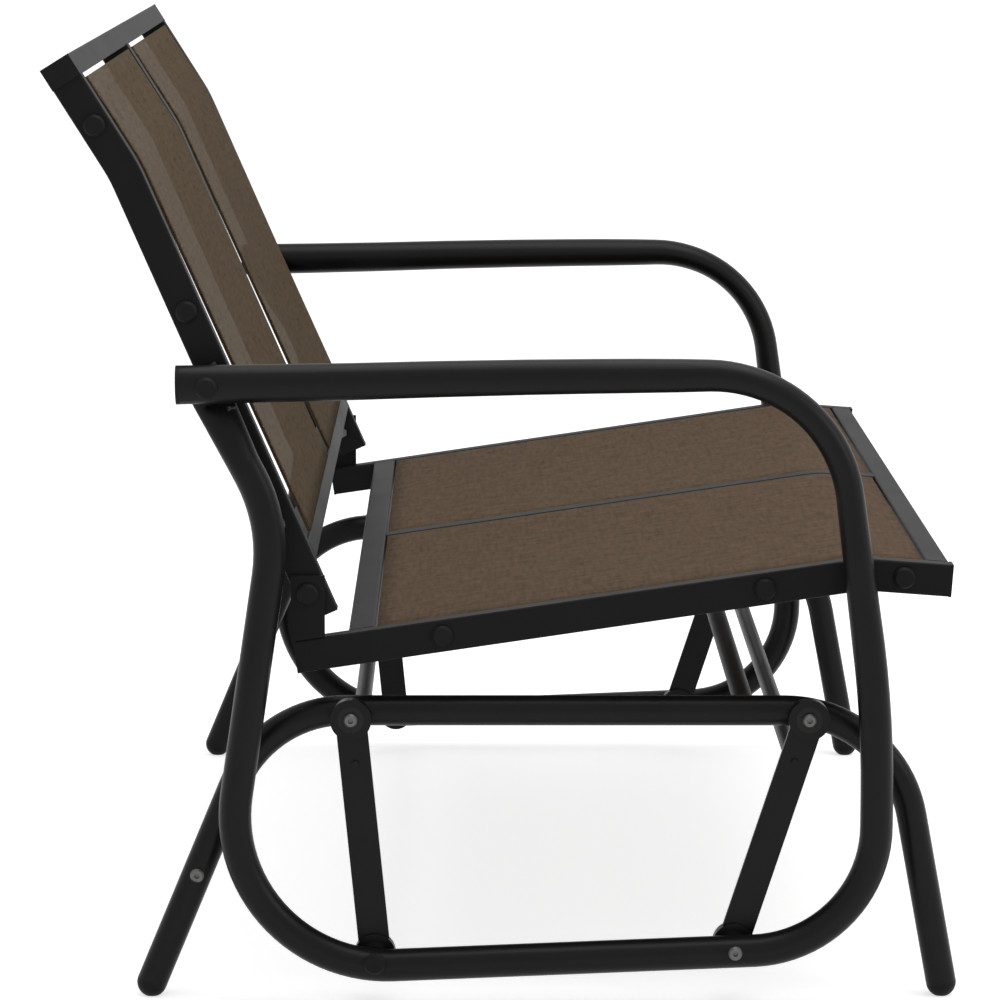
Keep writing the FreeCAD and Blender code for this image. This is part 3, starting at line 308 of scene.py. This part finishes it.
# Sling panels: four sheets of coated polyester mesh, brown-taupe, woven close so that
# only a little light comes through. Each is pulled flat over a steel strip along both
# long edges, bends with the rails and gives slightly in the middle.
def woven_mesh(name, colour, cover):
    cloth, tree, yarn = new_material(name)
    yarn.inputs["Alpha"].default_value = cover
    yarn.inputs["Roughness"].default_value = 0.85
    yarn.inputs["Specular IOR Level"].default_value = 0.035

    def math_node(operation, value=0.5):
        node = tree.nodes.new("ShaderNodeMath")
        node.operation = operation
        node.inputs[1].default_value = value
        return node

    where = tree.nodes.new("ShaderNodeUVMap")
    where.uv_map = "cloth"
    split = tree.nodes.new("ShaderNodeSeparateXYZ")
    tree.links.new(where.outputs["UV"], split.inputs[0])
    two_threads = 0.0026
    weave = math_node("MULTIPLY")
    for i, axis in enumerate(("X", "Y")):
        along = math_node("MULTIPLY", 2 * math.pi / two_threads)
        wave = math_node("SINE")
        tree.links.new(split.outputs[axis], along.inputs[0])
        tree.links.new(along.outputs[0], wave.inputs[0])
        tree.links.new(wave.outputs[0], weave.inputs[i])
    slubs = math_node("ADD")
    for i, crowding in enumerate(((120, 38, 1), (36, 220, 1))):
        stretch = tree.nodes.new("ShaderNodeMapping")
        stretch.inputs["Scale"].default_value = crowding
        streaks = tree.nodes.new("ShaderNodeTexNoise")
        streaks.inputs["Scale"].default_value = 1
        streaks.inputs["Detail"].default_value = 4
        streaks.inputs["Roughness"].default_value = 0.6
        tree.links.new(where.outputs["UV"], stretch.inputs["Vector"])
        tree.links.new(stretch.outputs["Vector"], streaks.inputs["Vector"])
        tree.links.new(streaks.outputs["Fac"], slubs.inputs[i])
    halve = math_node("MULTIPLY", 0.5)
    tree.links.new(slubs.outputs[0], halve.inputs[0])
    tone = tree.nodes.new("ShaderNodeValToRGB")
    dark, light = tone.color_ramp.elements
    dark.position = 0.3
    dark.color = tuple(0.6 * c for c in colour) + (1,)
    light.position = 0.7
    light.color = tuple(1.4 * c for c in colour) + (1,)
    tree.links.new(halve.outputs[0], tone.inputs["Fac"])
    # Painted shade in the weave: the colour is multiplied darker where the weave's bump
    # sinks and lighter where it rises.
    painted_weave_shade = tree.nodes.new("ShaderNodeMapRange")
    painted_weave_shade.inputs["From Min"].default_value = -1
    painted_weave_shade.inputs["To Min"].default_value = 0.86
    painted_weave_shade.inputs["To Max"].default_value = 1.1
    tree.links.new(weave.outputs[0], painted_weave_shade.inputs["Value"])
    mix = tree.nodes.new("ShaderNodeMix")
    mix.data_type = "RGBA"
    mix.blend_type = "MULTIPLY"
    mix.inputs["Factor"].default_value = 1
    tree.links.new(tone.outputs["Color"], mix.inputs["A"])
    tree.links.new(painted_weave_shade.outputs["Result"], mix.inputs["B"])
    tree.links.new(mix.outputs["Result"], yarn.inputs["Base Color"])
    bump = tree.nodes.new("ShaderNodeBump")
    bump.inputs["Strength"].default_value = 0.25
    bump.inputs["Distance"].default_value = 0.0003
    tree.links.new(weave.outputs[0], bump.inputs["Height"])
    tree.links.new(bump.outputs["Normal"], yarn.inputs["Normal"])
    return cloth


seat_cloth = woven_mesh("seat_cloth", (0.0935, 0.0638, 0.0412), cover=0.97)
back_cloth = woven_mesh("back_cloth", (0.088, 0.0632, 0.039), cover=0.84)


def sling(name, near, far, bend, turn, radius, end, lean, start, sag, material):
    """A flat sheet, turned down at its bend in small steps, then laid at its slope."""
    squares, steps = 28, 8
    lip_out, lip_down = 0.0004, 0.0007
    bm = bmesh.new()
    bmesh.ops.create_grid(bm, x_segments=squares, y_segments=squares, size=0.5)
    bmesh.ops.scale(bm, vec=(far - near, end, 1), verts=bm.verts)
    bmesh.ops.translate(bm, vec=((near + far) / 2, end / 2, 0), verts=bm.verts)
    run = radius * turn
    folds = [bend - run / 2 + run * i / steps for i in range(steps + 1)]
    for fold in folds:
        bmesh.ops.bisect_plane(bm, geom=bm.verts[:] + bm.edges[:] + bm.faces[:],
                               dist=1e-6, plane_co=(0, fold, 0), plane_no=(0, 1, 0))
    for v in bm.verts:
        across = math.sin(math.pi * (v.co.x - near) / (far - near))
        v.co.z = -sag * (across * math.sin(math.pi * v.co.y / end)) ** 2
    for side, outwards in ((near, -lip_out), (far, lip_out)):
        edge = [e for e in bm.edges if all(abs(v.co.x - side) < 1e-6 for v in e.verts)]
        lip = bmesh.ops.extrude_edge_only(bm, edges=edge)["geom"]
        bmesh.ops.translate(bm, vec=(outwards, 0, -lip_down),
                            verts=[v for v in lip if isinstance(v, bmesh.types.BMVert)])
    cut = bm.loops.layers.uv.new("cloth")
    for face in bm.faces:
        face.smooth = True
        for corner in face.loops:
            x, y, z = corner.vert.co
            corner[cut].uv = (x - z, y + start[2])
    for i in reversed(range(steps)):
        fold = (folds[i] + folds[i + 1]) / 2
        bmesh.ops.rotate(bm, cent=(0, fold, 0),
                         matrix=Matrix.Rotation(-turn / steps, 3, "X"),
                         verts=[v for v in bm.verts if v.co.y > fold])
    bmesh.ops.rotate(bm, cent=(0, 0, 0), matrix=lean, verts=bm.verts)
    bmesh.ops.translate(bm, vec=start, verts=bm.verts)
    sheet = made_of(bm, name, material)
    thickness = sheet.modifiers.new("thickness", "SOLIDIFY")
    thickness.thickness = 0.0009
    thickness.offset = 0
    return sheet


forward = (Matrix.Rotation(math.radians(-8.4346), 3, "X")
           @ Matrix.Rotation(math.pi, 3, "Z"))
for side, near, far in (("left", 0.0151, 0.532), ("right", -0.532, -0.0151)):
    seat = sling("seat_fabric_" + side, -far, -near, bend=0.4506,
                 turn=math.radians(12.634), radius=0.1042, end=0.5067, lean=forward,
                 start=(0, 0.1167, 0.34727), sag=0.0025, material=seat_cloth)
    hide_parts("seat_sling_" + side)
    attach(seat, "glider")

# The back's two lean a little further back than the rails, by the slack.
upward = Matrix.Rotation(math.radians(66.391), 3, "X")
slack = Matrix.Rotation(math.radians(-0.52), 3, "X")
middle = Vector((0, 0.2695, 0.6371))
foot = middle + slack @ (Vector((0, 0.1801, 0.43258)) - middle)
for side, near, far in (("left", 0.0275, 0.5156), ("right", -0.5156, -0.0275)):
    back = sling("back_fabric_" + side, near, far, bend=0.3745,
                 turn=math.radians(8.505), radius=0.1668, end=0.4662,
                 lean=slack @ upward, start=foot, sag=0.0015, material=back_cloth)
    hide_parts("back_sling_" + side)
    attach(back, "glider")

# Back strips and their clips: flat steel bars sewn into a sleeve of the same cloth
# along the panels' long edges, and coated angle clips bolted to the rails behind them.
# They lean with the stretched cloth, so that a slit of light stays open beside it.
sleeve_cloth = powder_coat("sleeve_cloth", (0.088, 0.064, 0.041),
                           roughness=0.85, specular=0.035, peel=0.4)
for name, node, deeper, finish, slot in (
        ("back_sleeved_strips", "back_sling_strips", 0, sleeve_cloth, "sling_fabric"),
        ("back_clips", "back_sling_clips", 0.0022, rail_coat, "rail_metal")):
    bm = bmesh.new()
    bm.from_mesh(nodes[node].data)
    bmesh.ops.remove_doubles(bm, verts=bm.verts, dist=1e-6)
    bmesh.ops.rotate(bm, cent=middle, matrix=slack, verts=bm.verts)
    bmesh.ops.translate(bm, vec=upward @ Vector((0, 0, -deeper)), verts=bm.verts)
    bars = made_of(bm, name, finish)
    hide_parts(node)
    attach(bars, "glider")
